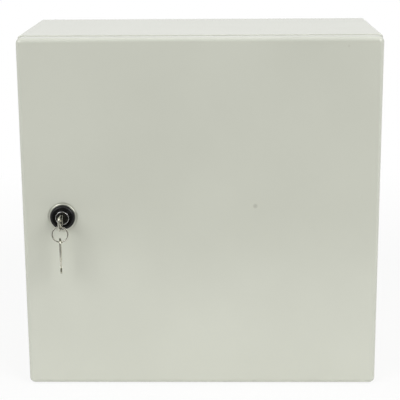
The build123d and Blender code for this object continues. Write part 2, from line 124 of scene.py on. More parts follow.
def startMaterial(name, settings):
    material = bpy.data.materials.new(name)
    material.use_nodes = True
    tree = material.node_tree
    tree.nodes.clear()
    shader = addNode(tree, "ShaderNodeBsdfPrincipled", settings)
    addNode(tree, "ShaderNodeOutputMaterial", None, {"Surface": (shader, "BSDF")})
    coords = addNode(tree, "ShaderNodeTexCoord")
    return material, tree, shader, coords


def laySurface(tree, shader, colour, shine, relief):
    # shine is a level with the least and the most roughness, relief a level with a strength and a depth
    tree.links.new(colour, shader.inputs["Base Color"])
    level, least, most = shine
    rough = addNode(tree, "ShaderNodeMapRange", {"To Min": least, "To Max": most}, {"Value": level})
    tree.links.new(rough.outputs["Result"], shader.inputs["Roughness"])
    level, strength, depth = relief
    bump = addNode(tree, "ShaderNodeBump", {"Strength": strength, "Distance": depth * mm}, {"Height": level})
    tree.links.new(bump.outputs["Normal"], shader.inputs["Normal"])


# camera, at the place and angle worked out from the edges of the door in the photograph
cameraFacts = {
    "place": (24.865 * mm, -1500.696 * mm, 345.173 * mm),
    "downDegrees": 14.072,
    "yawDegrees": 1.117,
    "rollDegrees": -0.405,
    "focalPixels": 1206.56,
    "framePixels": 400,
    "sensor": 36.0,
    "clipStart": 0.01,
}


def addCamera(facts):
    yaw, down, roll = (math.radians(facts[key]) for key in ("yawDegrees", "downDegrees", "rollDegrees"))
    right = Vector((math.cos(yaw), math.sin(yaw), 0))
    level = Vector((-math.sin(yaw), math.cos(yaw), 0))
    ahead = level * math.cos(down) - Vector((0, 0, math.sin(down)))
    up = level * math.sin(down) + Vector((0, 0, math.cos(down)))
    right, up = right * math.cos(roll) + up * math.sin(roll), up * math.cos(roll) - right * math.sin(roll)
    data = bpy.data.cameras.new("camera")
    data.sensor_width = facts["sensor"]
    data.lens = facts["focalPixels"] / facts["framePixels"] * facts["sensor"]
    data.clip_start = facts["clipStart"]
    camera = bpy.data.objects.new("camera", data)
    bpy.context.scene.collection.objects.link(camera)
    turn = Matrix((right, up, -ahead)).transposed().to_4x4()
    camera.matrix_world = Matrix.Translation(Vector(facts["place"])) @ turn
    bpy.context.scene.camera = camera


addCamera(cameraFacts)
bpy.context.scene.view_settings.view_transform = "Standard"
print("camera placed")

# studio: white paper under the box, a softbox on each side and one overhead, a dim room behind the camera
studioFacts = {
    # lengths in metres
    "floorBack": 1.6,
    "floorFront": -0.70,
    "floorSide": 1.6,
    "floorDrop": 0.3 * mm,
    "floorGlow": 0.86,
    "glowFade": (0.45, 1.0),
    "roomBehind": 0.50,
    "roomInFront": 0.16,
    "roomEdge": (-0.85, -0.45),
    # name, place, what it faces, width and height, and watts
    "softboxes": [
        ("leftSoftbox", (-1.2, -1.5, 1.1), (0, -0.2, 0), (1.2, 1.2), 17.4),
        ("rightSoftbox", (1.2, -1.5, 1.1), (0, -0.2, 0), (1.2, 1.2), 20.0),
        ("topSoftbox", (0.1, 0.0, 1.5), (0, -0.1, 0.1), (1.4, 1.0), 3.0),
    ],
}


def addSoftbox(name, place, target, size, watts):
    data = bpy.data.lights.new(name, "AREA")
    data.shape = "RECTANGLE"
    data.size, data.size_y = size
    data.energy = watts
    light = bpy.data.objects.new(name, data)
    bpy.context.scene.collection.objects.link(light)
    light.location = place
    light.rotation_euler = (Vector(target) - Vector(place)).to_track_quat("-Z", "Y").to_euler()


def addFloor(facts):
    deselectAll()
    depth = facts["floorBack"] - facts["floorFront"]
    middle = (0, facts["floorBack"] - depth / 2, cadBounds[0][2] - facts["floorDrop"])
    bpy.ops.mesh.primitive_plane_add(size=1, location=middle)
    floor = nameActive("paperFloor")
    floor.scale = (2 * facts["floorSide"], depth, 1)
    bpy.ops.object.transform_apply(location=True, rotation=True, scale=True)
    # the paper is part glow to the camera, glass and metal, and part lit paper that keeps the shadow
    material, tree, shader, coords = startMaterial("whitePaper", {"Roughness": 0.9})
    fibre = addNoise(tree, coords, size=4.0, detail=2.0)
    tree.links.new(addTone(tree, (fibre, "Fac"), "#f2f2f0", "#f6f6f4"), shader.inputs["Base Color"])
    glow = addNode(tree, "ShaderNodeEmission", {"Color": (1, 1, 1, 1), "Strength": 1.0})
    path = addNode(tree, "ShaderNodeLightPath")
    seen = addMath(tree, "MAXIMUM", (path, "Is Camera Ray"), (path, "Is Glossy Ray"))
    seen = addMath(tree, "MAXIMUM", (seen, "Value"), (path, "Is Transmission Ray"))
    # all glow well away from the box, so that the edge of the paper is lost in the background
    far = addNode(tree, "ShaderNodeVectorMath", {"operation": "LENGTH"}, {0: (coords, "Object")})
    near, away = facts["glowFade"]
    levels = {"From Min": near, "From Max": away, "To Min": facts["floorGlow"]}
    fade = addNode(tree, "ShaderNodeMapRange", levels, {"Value": (far, "Value")})
    share = addMath(tree, "MULTIPLY", (seen, "Value"), (fade, "Result"))
    ends = {"Fac": (share, "Value"), 1: (shader, "BSDF"), 2: (glow, "Emission")}
    mix = addNode(tree, "ShaderNodeMixShader", None, ends)
    output = next(node for node in tree.nodes if node.type == "OUTPUT_MATERIAL")
    tree.links.new(mix.outputs["Shader"], output.inputs["Surface"])
    floor.data.materials.append(material)


def addRoom(facts):
    world = bpy.data.worlds.new("room")
    bpy.context.scene.world = world
    world.use_nodes = True
    tree = world.node_tree
    tree.nodes.clear()
    coords = addNode(tree, "ShaderNodeTexCoord")
    direction = addNode(tree, "ShaderNodeSeparateXYZ", None, {"Vector": (coords, "Generated")})
    dim, full = facts["roomEdge"]
    edge = {"From Min": dim, "From Max": full}
    behind = addNode(tree, "ShaderNodeMapRange", edge, {"Value": (direction, "Y")})
    levels = {"To Min": facts["roomInFront"], "To Max": facts["roomBehind"]}
    strength = addNode(tree, "ShaderNodeMapRange", levels, {"Value": (behind, "Result")})
    grey = addNode(tree, "ShaderNodeBackground", {"Color": (1, 1, 1, 1)}, {"Strength": (strength, "Result")})
    white = addNode(tree, "ShaderNodeBackground", {"Color": (1, 1, 1, 1), "Strength": 1.0})
    # the camera and glass see white all round, metal and paint see it except towards the dim room
    path = addNode(tree, "ShaderNodeLightPath")
    mirror = addMath(tree, "MULTIPLY", (path, "Is Glossy Ray"), (behind, "Result"))
    seen = addMath(tree, "MAXIMUM", (path, "Is Camera Ray"), (mirror, "Value"))
    seen = addMath(tree, "MAXIMUM", (seen, "Value"), (path, "Is Transmission Ray"))
    ends = {"Fac": (seen, "Value"), 1: (grey, "Background"), 2: (white, "Background")}
    mix = addNode(tree, "ShaderNodeMixShader", None, ends)
    addNode(tree, "ShaderNodeOutputWorld", None, {"Surface": (mix, "Shader")})


addFloor(studioFacts)
addRoom(studioFacts)
for softbox in studioFacts["softboxes"]:
    addSoftbox(*softbox)
print("studio lit")

# scuffs on the door: one right of its middle and a small one near its top right corner
scuffFacts = {
    # place and size in millimetres, and colour
    "marks": [((61, -200, 12), 3.2, "#b6b7ab"), ((161, -200, 189.4), 1.6, "#c2c3b7")],
    "coreShare": 0.4,
    # where Blender's colour mix has its factor, its two colours and its result
    "mixSockets": (0, 6, 7, 2),
}


# powder coat: polyester powder baked on steel, smooth light grey with a low shine and a fine orange peel
def makePowderCoat(scuffs):
    settings = {"IOR": 1.5, "Specular IOR Level": 0.85}
    material, tree, shader, coords = startMaterial("powderCoat", settings)
    broad = addNoise(tree, coords, size=120.0, detail=2.0)
    colour = addTone(tree, (broad, "Fac"), "#c8cabe", "#cccec2")
    factor, under, over, result = scuffs["mixSockets"]
    for place, size, grey in scuffs["marks"]:
        centre = {"operation": "DISTANCE", 1: [along * mm for along in place]}
        spot = addNode(tree, "ShaderNodeVectorMath", centre, {0: (coords, "Object")})
        reach = {"From Min": size * mm, "From Max": scuffs["coreShare"] * size * mm}
        fade = addNode(tree, "ShaderNodeMapRange", reach, {"Value": (spot, "Value")})
        mix = addNode(tree, "ShaderNodeMix", {"data_type": "RGBA"})
        tree.links.new(fade.outputs["Result"], mix.inputs[factor])
        tree.links.new(colour, mix.inputs[under])
        mix.inputs[over].default_value = linear(grey)
        colour = mix.outputs[result]
    peel = (addNoise(tree, coords, size=1.6, detail=1.0), "Fac")
    laySurface(tree, shader, colour, shine=(peel, 0.20, 0.28), relief=(peel, 0.08, 0.04))
    return material


# polyurethane foam: a bead risen in place, matt and nearly black, with fine cells under a thin skin
def makeFoamSeal():
    material, tree, shader, coords = startMaterial("polyurethaneFoam", {"IOR": 1.45})
    cells = (addCells(tree, (coords, "Object"), size=1.1), "Distance")
    skin = (addNoise(tree, coords, size=18.0, detail=3.0), "Fac")
    colour = addTone(tree, skin, "#262626", "#313130")
    laySurface(tree, shader, colour, shine=(skin, 0.72, 0.9), relief=(cells, 0.5, 0.2))
    return material


# plated metal: a clouded tone, and fine marks that dull the polish and can be drawn out
def makeMetal(name, dark, light, dull, bright, cloud, markSize, markDepth):
    material, tree, shader, coords = startMaterial(name, {"Metallic": 1.0})
    clouds = addNoise(tree, coords, size=cloud, detail=4.0)
    colour = addTone(tree, (clouds, "Fac"), dark, light)
    scale = {"Scale": [featureScale(size) for size in markSize]}
    stretch = addNode(tree, "ShaderNodeMapping", scale, {"Vector": (coords, "Object")})
    grain = {"Scale": 1.0, "Detail": 2.0}
    marks = (addNode(tree, "ShaderNodeTexNoise", grain, {"Vector": (stretch, "Vector")}), "Fac")
    laySurface(tree, shader, colour, shine=(marks, bright, dull), relief=(marks, 0.15, markDepth))
    return material


# galvanised sheet: steel dipped in zinc, frozen in flat crystals of a centimetre that shine differently
def makeGalvanisedSheet():
    material, tree, shader, coords = startMaterial("galvanisedSheet", {"Metallic": 1.0})
    warp = addNoise(tree, coords, size=6.0, detail=2.0)
    amount = {"operation": "SCALE", "Scale": 5.0 * mm}
    shift = addNode(tree, "ShaderNodeVectorMath", amount, {0: (warp, "Color")})
    ways = {0: (coords, "Object"), 1: (shift, "Vector")}
    bent = addNode(tree, "ShaderNodeVectorMath", {"operation": "ADD"}, ways)
    spangle = addCells(tree, (bent, "Vector"), size=11.0)
    level = addNode(tree, "ShaderNodeSeparateColor", None, {"Color": (spangle, "Color")})
    colour = addTone(tree, (level, "Red"), "#b3b7b9", "#cbced0", stops=(0.0, 1.0))
    shine, relief = ((level, "Green"), 0.30, 0.52), ((level, "Blue"), 0.1, 0.05)
    laySurface(tree, shader, colour, shine, relief)
    return material


# black coat: black lacquer over a zinc die casting, satin, with the casting's grain showing through a little
def makeBlackCoat():
    settings = {"IOR": 1.5, "Specular IOR Level": 0.22}
    material, tree, shader, coords = startMaterial("blackLacquer", settings)
    grain = (addNoise(tree, coords, size=0.7, detail=2.0), "Fac")
    colour = addTone(tree, grain, "#0b0b0a", "#111110")
    laySurface(tree, shader, colour, shine=(grain, 0.20, 0.30), relief=(grain, 0.1, 0.03))
    return material


finishes = {
    "powder_coat": makePowderCoat(scuffFacts),
    "foam_seal": makeFoamSeal(),
    # zinc plate: bright electroplate passivated blue, a cool satin with faint clouds
    "zinc_plate": makeMetal("zincPlate", "#b4b8bb", "#c9cbc8", dull=0.42, bright=0.28, cloud=6.0,
                            markSize=(0.6, 0.6, 0.6), markDepth=0.02),
    "galvanised_sheet": makeGalvanisedSheet(),
    # copper flash: a thin copper wash on a welded steel stud, warm and a little dull
    "copper_stud": makeMetal("copperFlashedSteel", "#a9704f", "#c28a66", dull=0.5, bright=0.32, cloud=4.0,
                             markSize=(0.5, 0.5, 0.5), markDepth=0.02),
    # satin trim: satin nickel on a turned zinc ring, even and soft
    "satin_trim": makeMetal("satinNickel", "#c4c5b9", "#cccdc1", dull=0.38, bright=0.30, cloud=5.0,
                            markSize=(0.4, 0.4, 0.4), markDepth=0.01),
    "black_coat": makeBlackCoat(),
    # dark plug: zinc casting plated dark, with the shine of worn handling
    "dark_plug": makeMetal("darkPlatedZinc", "#2b2b2a", "#3a3937", dull=0.34, bright=0.2, cloud=2.0,
                           markSize=(0.3, 0.3, 0.3), markDepth=0.01),
    # bright ring: polished chrome, mirror bright with hairline wear
    "bright_ring": makeMetal("polishedChrome", "#cfcfcd", "#d9d9d8", dull=0.12, bright=0.05, cloud=3.0,
                             markSize=(0.3, 0.3, 0.3), markDepth=0.004),
    # nickel: nickel plate on drawn spring wire, pale and bright
    "nickel": makeMetal("nickelPlatedWire", "#c8c6ba", "#d8d6ca", dull=0.22, bright=0.12, cloud=3.0,
                        markSize=(0.25, 2.5, 2.5), markDepth=0.01),
    # key nickel: bright nickel plate on stamped brass that was tumbled smooth, rubbed along the key
    "key_nickel": makeMetal("nickelPlatedBrass", "#b3b2a5", "#c3c2b5", dull=0.16, bright=0.10, cloud=3.0,
                            markSize=(0.25, 2.5, 2.5), markDepth=0.01),
}
print("finishes made:", len(finishes))

# workshop: what all the pieces share, lengths in millimetres
shopFacts = {
    "sewGap": 0.002,
    "cutterPast": 1.0,
    "smoothDegrees": 32,
    # how nearly a normal keeps to its axis on a flat face
    "flatLimit": 0.99,
}


def pickUprights(piece, test):
    # in edit mode, picks the edges that run through the thickness and whose two ends pass the test
    bpy.ops.mesh.select_all(action="DESELECT")
    bpy.ops.mesh.select_mode(type="EDGE")
    mesh = bmesh.from_edit_mesh(piece.data)
    for edge in mesh.edges:
        ends = [vert.co for vert in edge.verts]
        edge.select_set(abs(ends[0].z - ends[1].z) > mm and all(test(end) for end in ends))
    bmesh.update_edit_mesh(piece.data)


def pickFlats(piece, side):
    # in edit mode, picks the faces that look straight up, side 1, or straight down, side -1
    bpy.ops.mesh.select_all(action="DESELECT")
    bpy.ops.mesh.select_mode(type="FACE")
    mesh = bmesh.from_edit_mesh(piece.data)
    for face in mesh.faces:
        face.select_set(face.normal.z * side > shopFacts["flatLimit"])
    bmesh.update_edit_mesh(piece.data)


def shapeWith(piece, kind, **settings):
    makeActive(piece)
    modifier = piece.modifiers.new(kind.lower(), kind)
    for key, value in settings.items():
        setattr(modifier, key, value)
    bpy.ops.object.modifier_apply(modifier=modifier.name)


def cutWith(piece, cutter, operation="DIFFERENCE"):
    shapeWith(piece, "BOOLEAN", object=cutter, operation=operation, solver="EXACT")
    bpy.data.objects.remove(cutter, do_unlink=True)


def breakEdges(piece, width, segments, degrees):
    # breaks the edges that turn by more than an angle, to a width in millimetres
    limits = {"limit_method": "ANGLE", "angle_limit": math.radians(degrees)}
    shapeWith(piece, "BEVEL", width=width * mm, segments=segments, **limits)


def mergeClose():
    bpy.ops.mesh.select_all(action="SELECT")
    bpy.ops.mesh.remove_doubles(threshold=shopFacts["sewGap"] * mm)


def sewMesh(fill):
    mergeClose()
    if fill:
        bpy.ops.mesh.fill_holes(sides=0)
        bpy.ops.mesh.select_all(action="SELECT")
    bpy.ops.mesh.normals_make_consistent(inside=False)
    bpy.ops.object.mode_set(mode="OBJECT")
    bpy.ops.object.transform_apply(location=True, rotation=True, scale=True)


def turnPiece(name, profile, segments, ring=False):
    # lathe work: a circle is extruded from ring to ring, each a radius and a height in millimetres
    deselectAll()
    radius, height = profile[0]
    bpy.ops.mesh.primitive_circle_add(vertices=segments, radius=radius * mm, location=(0, 0, height * mm))
    piece = nameActive(name)
    bpy.ops.object.mode_set(mode="EDIT")
    bpy.ops.mesh.select_all(action="SELECT")
    for nextRadius, nextHeight in profile[1:] + (profile[:1] if ring else []):
        bpy.ops.mesh.extrude_region_move(TRANSFORM_OT_translate={"value": (0, 0, (nextHeight - height) * mm)})
        share = nextRadius / radius
        bpy.ops.transform.resize(value=(share, share, 1), center_override=(0, 0, nextHeight * mm))
        radius, height = nextRadius, nextHeight
    sewMesh(fill=not ring)
    return piece


def blockPiece(name, low, high):
    # a cube brought to its two corners, in millimetres
    deselectAll()
    middle = [(a + b) / 2 * mm for a, b in zip(low, high)]
    bpy.ops.mesh.primitive_cube_add(size=1, location=middle)
    piece = nameActive(name)
    piece.scale = [(b - a) * mm for a, b in zip(low, high)]
    bpy.ops.object.transform_apply(location=True, rotation=True, scale=True)
    return piece


def placePiece(piece, place, along, across):
    # stands a piece modelled about the origin on its place, its z along and its x across
    makeActive(piece)
    along, across = Vector(along), Vector(across)
    turn = Matrix((across, along.cross(across), along)).transposed().to_4x4()
    piece.matrix_world = Matrix.Translation(Vector(place) * mm) @ turn
    bpy.ops.object.transform_apply(location=True, rotation=True, scale=True)
    return piece


def copyPiece(piece, name):
    makeActive(piece)
    bpy.ops.object.duplicate(linked=False)
    return nameActive(name)


def dressPiece(piece, slot, body, *nodes, finish=None):
    makeActive(piece)
    bpy.ops.object.shade_smooth_by_angle(angle=math.radians(shopFacts["smoothDegrees"]))
    piece.data.materials.clear()
    piece.data.materials.append(finishes[finish or slot])
    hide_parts(*nodes)
    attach(piece, body)


def arcRun(centre, radius, start, end, steps=8):
    # a round stretch of a profile, its angles in degrees from outward towards forward
    turns = [math.radians(start + (end - start) * at / steps) for at in range(steps + 1)]
    return [(centre[0] + radius * math.cos(turn), centre[1] + radius * math.sin(turn)) for turn in turns]


# the joints say where the lock, the ring and the spare key are, in millimetres
jointAt = {}
for joint in frame["record"]["behaviour"]["joints"]:
    if "pos_m" in joint:
        jointAt[joint["name"]] = Vector(joint["pos_m"]) / mm
forward, backward, leftward = (0, -1, 0), (0, 1, 0), (-1, 0, 0)
rightward, upward = (1, 0, 0), (0, 0, 1)
lockX, lockZ = jointAt["lock_turn"].x, jointAt["lock_turn"].z

# lock: profiles are radius and reach, the reach being the distance from the rear of the box
lockFacts = {
    "axis": (lockX, 0, lockZ),
    "segments": 96,
    # a flat flange with a quarter-round bead inside it
    "trim": [(11.15, 200.0), (16.6, 200.0)] + arcRun((16.4, 200.35), 0.2, 0, 90, 4)
            + arcRun((14.3, 200.55), 1.25, 0, 90) + [(11.15, 201.8)],
    # the crown rolls over into a funnel, with the seat of the plug's rim at its foot
    "headFront": [(11.0, 201.8), (13.9, 201.8)] + arcRun((10.75, 203.0), 3.15, 0, 86)
                 + arcRun((10.6, 205.75), 0.4, 80, 150, 3)
                 + [(9.2, 204.5), (8.95, 204.4), (7.56, 204.4), (7.56, 202.6), (6.56, 202.6)],
    "barrelEnd": [(6.56, 176.1), (10.4, 176.1)],
    "threadStart": 176.7,
    "threadFront": 200.0,
    "threadEnd": 200.2,
    "threadPitch": 1.5,
    "threadCrest": 11.0,
    "threadRoot": 10.4,
    # the barrel is flat on two sides, cut by blocks that reach past the thread
    "flatsAt": 10.0,
    "flatReach": 14.0,
    "flatsBack": 175.1,
    "flatsFront": 201.75,
    "plugRing": [(6.8, 202.65), (7.5, 202.65)] + arcRun((7.15, 206.05), 0.35, 0, 180),
    "plug": [
        (6.5, 175.8), (6.5, 202.65), (6.77, 202.65), (6.77, 205.3), (6.5, 205.6), (6.1, 205.6), (5.7, 205.35),
        (5.2, 205.15), (3.4, 205.0), (0.8, 204.95),
    ],
    "plugEdge": (0.12, 1, 50),
    # half the width of the tang, then half the width and half the height of the keyway
    "tang": 3.5,
    "tangBack": 172.9,
    "tangFront": 177.0,
    "keyway": (1.1, 3.85),
    "keywayBack": 189.6,
    "keywayFront": 210.0,
}


def buildLock(facts):
    axis, segments = facts["axis"], facts["segments"]
    trim = turnPiece("lockTrim", facts["trim"], segments, ring=True)
    dressPiece(placePiece(trim, axis, forward, rightward), "satin_trim", "door", "lock_bezel")

    # housing: the turned head, then the bore, then back up the threaded barrel
    start, pitch, root = facts["threadStart"], facts["threadPitch"], facts["threadRoot"]
    profile = facts["headFront"] + facts["barrelEnd"]
    for turn in range(int((facts["threadFront"] - start) / pitch)):
        low = start + turn * pitch
        profile += [(root, low), (facts["threadCrest"], low + pitch / 2)]
    profile += [(root, facts["threadEnd"])]
    housing = turnPiece("lockHousing", profile, segments, ring=True)
    reach = facts["flatReach"]
    for side in (-1, 1):
        low, high = sorted((side * facts["flatsAt"], side * reach))
        corners = (-reach, low, facts["flatsBack"]), (reach, high, facts["flatsFront"])
        cutWith(housing, blockPiece("flatCutter", *corners))
    dressPiece(placePiece(housing, axis, forward, rightward), "black_coat", "door", "lock_housing")

    ring = turnPiece("plugRing", facts["plugRing"], segments, ring=True)
    dressPiece(placePiece(ring, axis, forward, rightward), "bright_ring", "plug", "plug_ring")

    # plug: a dished face with the keyway through it, and a square tang for the cam
    plug = turnPiece("lockPlug", facts["plug"], segments)
    tang = facts["tang"]
    corners = (-tang, -tang, facts["tangBack"]), (tang, tang, facts["tangFront"])
    cutWith(plug, blockPiece("tangBlock", *corners), "UNION")
    wide, tall = facts["keyway"]
    corners = (-wide, -tall, facts["keywayBack"]), (wide, tall, facts["keywayFront"])
    cutWith(plug, blockPiece("keywayCutter", *corners))
    breakEdges(plug, *facts["plugEdge"])
    dressPiece(placePiece(plug, axis, forward, rightward), "dark_plug", "plug", "lock_plug")


buildLock(lockFacts)
print("lock turned")

# keys: modelled flat, x from the shoulder out along the bow, y across and z through the thickness
keyFacts = {
    # length, width and thickness
    "bow": (24.0, 15.6, 2.6),
    "bowCorner": 3.5,
    "rolledEdge": 1.6,
    "cutEdge": 0.45,
    "panelInset": 0.5,
    "panelDepth": 0.3,
    # middle and radius
    "hole": (16.2, 5.6),
    "holeReach": 3.0,
    "holeSegments": 48,
    # tip, root, width and thickness
    "blade": (-15.0, 4.0, 7.5, 2.0),
    "point": 2.3,
    # place and depth of each cut
    "cuts": [(-6.6, 0.75), (-8.2, 1.8), (-9.8, 1.05), (-11.4, 2.1)],
    "cutHalfWidth": 0.8,
    "cutterDepth": 4.0,
    # middle, width and depth
    "groove": (-1.875, 1.6, 0.4),
    "grooveEnd": 0.5,
    "brokenEdge": (0.18, 2, 40),
    "spareTurnDegrees": 8.0,
}


def stampBow(facts):
    length, width, thick = facts["bow"]
    bow = blockPiece("keyInLock", (0, -width / 2, -thick / 2), (length, width / 2, thick / 2))
    makeActive(bow)
    bpy.ops.object.mode_set(mode="EDIT")
    pickUprights(bow, lambda end: True)
    bpy.ops.mesh.bevel(offset=facts["bowCorner"] * mm, segments=12, affect="EDGES")
    # the punch rolls the edge over on one face, and a sunken panel is struck in both faces of the bow
    for side, edge in ((1, "rolledEdge"), (-1, "cutEdge")):
        pickFlats(bow, side)
        bpy.ops.mesh.region_to_loop()
        bpy.ops.mesh.bevel(offset=facts[edge] * mm, segments=4, affect="EDGES")
        pickFlats(bow, side)
        bpy.ops.mesh.inset(thickness=facts["panelInset"] * mm)
        bpy.ops.mesh.inset(thickness=facts["panelDepth"] * mm, depth=-facts["panelDepth"] * mm)
    bpy.ops.object.mode_set(mode="OBJECT")
    return bow


def cutBlade(facts):
    tip, root, width, thick = facts["blade"]
    blade = blockPiece("keyBlade", (tip, -width / 2, -thick / 2), (root, width / 2, thick / 2))
    makeActive(blade)
    bpy.ops.object.mode_set(mode="EDIT")
    pickUprights(blade, lambda end: end.x < 0)
    bpy.ops.mesh.bevel(offset=facts["point"] * mm, segments=1, affect="EDGES")
    bpy.ops.object.mode_set(mode="OBJECT")
    for place, depth in facts["cuts"]:
        deselectAll()
        shape = {"vertices": 4, "radius": 1, "depth": facts["cutterDepth"] * mm}
        bpy.ops.mesh.primitive_cylinder_add(location=(place * mm, width / 2 * mm, 0), **shape)
        cutter = nameActive("cutCutter")
        cutter.scale = (facts["cutHalfWidth"] * mm, depth * mm, 1)
        bpy.ops.object.transform_apply(location=True, rotation=True, scale=True)
        cutWith(blade, cutter)
    middle, wide, depth = facts["groove"]
    past = shopFacts["cutterPast"]
    low = (tip - past, middle - wide / 2, thick / 2 - depth)
    high = (facts["grooveEnd"], middle + wide / 2, thick / 2 + past)
    cutWith(blade, blockPiece("grooveCutter", low, high))
    return blade


def buildKeys(facts):
    key = stampBow(facts)
    cutWith(key, cutBlade(facts), "UNION")
    place, radius = facts["hole"]
    reach = facts["holeReach"]
    hole = turnPiece("holeCutter", [(radius, -reach), (radius, reach)], facts["holeSegments"])
    hole.location.x = place * mm
    cutWith(key, hole)
    breakEdges(key, *facts["brokenEdge"])
    bpy.ops.object.mode_set(mode="EDIT")
    sewMesh(fill=False)
    spare = copyPiece(key, "spareKey")
    # the far end of each bow is where its solid ends
    length = facts["bow"][0]
    inLock = (lockX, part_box("key")[0][1] / mm + length, lockZ)
    placePiece(key, inLock, leftward, forward)
    dressPiece(key, "nickel", "key_in_lock", "key", finish="key_nickel")
    hang = jointAt["spare_key_swing"]
    onRing = (hang.x, hang.y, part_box("spare_key")[1][2] / mm - length)
    turn = math.radians(facts["spareTurnDegrees"])
    placePiece(spare, onRing, (math.cos(turn), math.sin(turn), 0), upward)
    dressPiece(spare, "nickel", "spare", "spare_key", finish="key_nickel")


buildKeys(keyFacts)
print("keys cut")

# split ring: flat spring wire wound twice, with its two ends left free
ringFacts = {
    "radius": 8.55,
    # width and thickness
    "wire": (1.4, 0.8),
    "wireCorner": 0.22,
    "pitch": 0.85,
    "turns": 2,
    "steps": 96,
}


def buildKeyRing(facts):
    deselectAll()
    wide, thick = facts["wire"]
    start = -facts["pitch"] * facts["turns"] / 2
    place = (facts["radius"] * mm, 0, start * mm)
    bpy.ops.mesh.primitive_plane_add(size=1, location=place, rotation=(math.pi / 2, 0, 0))
    ring = nameActive("keyRing")
    ring.scale = (wide * mm, thick * mm, 1)
    bpy.ops.object.transform_apply(location=True, rotation=True, scale=True)
    bpy.ops.object.mode_set(mode="EDIT")
    bpy.ops.mesh.select_all(action="SELECT")
    bpy.ops.mesh.bevel(offset=facts["wireCorner"] * mm, segments=3, affect="VERTICES")
    bpy.ops.mesh.select_all(action="SELECT")
    bpy.ops.mesh.delete(type="ONLY_FACE")
    bpy.ops.object.mode_set(mode="OBJECT")
    steps = {"steps": facts["steps"], "render_steps": facts["steps"]}
    shapeWith(ring, "SCREW", axis="Z", screw_offset=facts["pitch"] * mm, iterations=facts["turns"], **steps)
    bpy.ops.object.mode_set(mode="EDIT")
    sewMesh(fill=True)
    low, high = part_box("key_ring")
    hang = jointAt["ring_swing"]
    middle = (hang.x, hang.y, (low[2] + high[2]) / 2 / mm)
    dressPiece(placePiece(ring, middle, forward, rightward), "nickel", "ring", "key_ring")


buildKeyRing(ringFacts)
print("key ring wound")

slotOf = {entry["node"]: entry["material_slot"] for entry in frame["record"]["subparts"]}
bodyOf = {node: body for body, nodes in frame["record"]["behaviour"]["bodies"].items() for node in nodes}

# studs: the thread's depth, flank and land are shares of its pitch, other lengths are in millimetres
studFacts = {
    "depth": 0.61,
    "flank": 0.38,
    "land": 0.12,
    "steps": 24,
    "turnsBelow": 2,
    "turnsSpare": 4,
    "tipDrop": 0.9,
    "tipLength": 1.2,
    "blankRoom": 0.3,
    "endRoom": 0.01,
    "segments": 48,
    # the ring of metal that the weld squeezes out: how far past the foot's radius, and height
    "weldRing": [(0.9, 0), (0.9, 0.35), (0.5, 0.75), (-0.4, 0.95)],
}


def threadRod(name, size, pitch, length, facts):
    # the Screw modifier winds the thread, which is then cut to length and given a tapered tip
    deselectAll()
    crest, root = size / 2 * mm, (size / 2 - facts["depth"] * pitch) * mm
    bpy.ops.mesh.primitive_plane_add(size=mm)
    rod = nameActive(name)
    bpy.ops.object.mode_set(mode="EDIT")
    bpy.ops.mesh.select_all(action="SELECT")
    bpy.ops.mesh.merge(type="CENTER")
    bpy.ops.transform.translate(value=(root, 0, -facts["turnsBelow"] * pitch * mm))
    flank, land = facts["flank"], facts["land"]
    for out, up in ((crest - root, flank), (0, land), (root - crest, flank), (0, land)):
        bpy.ops.mesh.extrude_region_move(TRANSFORM_OT_translate={"value": (out, 0, up * pitch * mm)})
    bpy.ops.object.mode_set(mode="OBJECT")
    steps = {"steps": facts["steps"], "render_steps": facts["steps"]}
    turns = int(length / pitch) + facts["turnsSpare"]
    shapeWith(rod, "SCREW", axis="Z", screw_offset=pitch * mm, iterations=turns, **steps)
    bpy.ops.object.mode_set(mode="EDIT")
    mergeClose()
    for height, side in ((0, -1), (length, 1)):
        bpy.ops.mesh.select_all(action="SELECT")
        plane = {"plane_co": (0, 0, height * mm), "plane_no": (0, 0, side)}
        bpy.ops.mesh.bisect(use_fill=True, clear_outer=True, **plane)
    sewMesh(fill=True)
    full, tip = size / 2 + facts["blankRoom"], size / 2 - facts["tipDrop"]
    blank = [(full, -shopFacts["cutterPast"]), (full, length - facts["tipLength"])]
    blank += [(tip, length + facts["endRoom"])]
    cutWith(rod, turnPiece("tipBlank", blank, facts["segments"]), "INTERSECT")
    return rod


def weldFoot(size, facts):
    return [(size / 2 + out, height) for out, height in facts["weldRing"]]


def weldStud(name, thread, length, collar, facts):
    # the collar is the ring of metal that the weld squeezes out, or the shoulder that a plate stands on
    stud = threadRod(name, *thread, length, facts)
    foot = turnPiece("studFoot", collar, facts["segments"])
    foot.select_set(True)
    stud.select_set(True)
    bpy.context.view_layer.objects.active = stud
    bpy.ops.object.join()
    return stud


# nuts: hexagons turned off at their corners, and bored with a wide mouth at both ends, in millimetres
nutFacts = {
    "hexTurnDegrees": 30,
    "cornerDegrees": 30,
    # radius of the flat end, as a share of the size across the flats
    "faceShare": 0.475,
    "cornerRoom": 0.1,
    "blankPast": 0.1,
    "blankSegments": 64,
    "boreRoom": 0.02,
    "mouth": 0.35,
    "endRoom": 0.01,
    "boreSegments": 48,
}


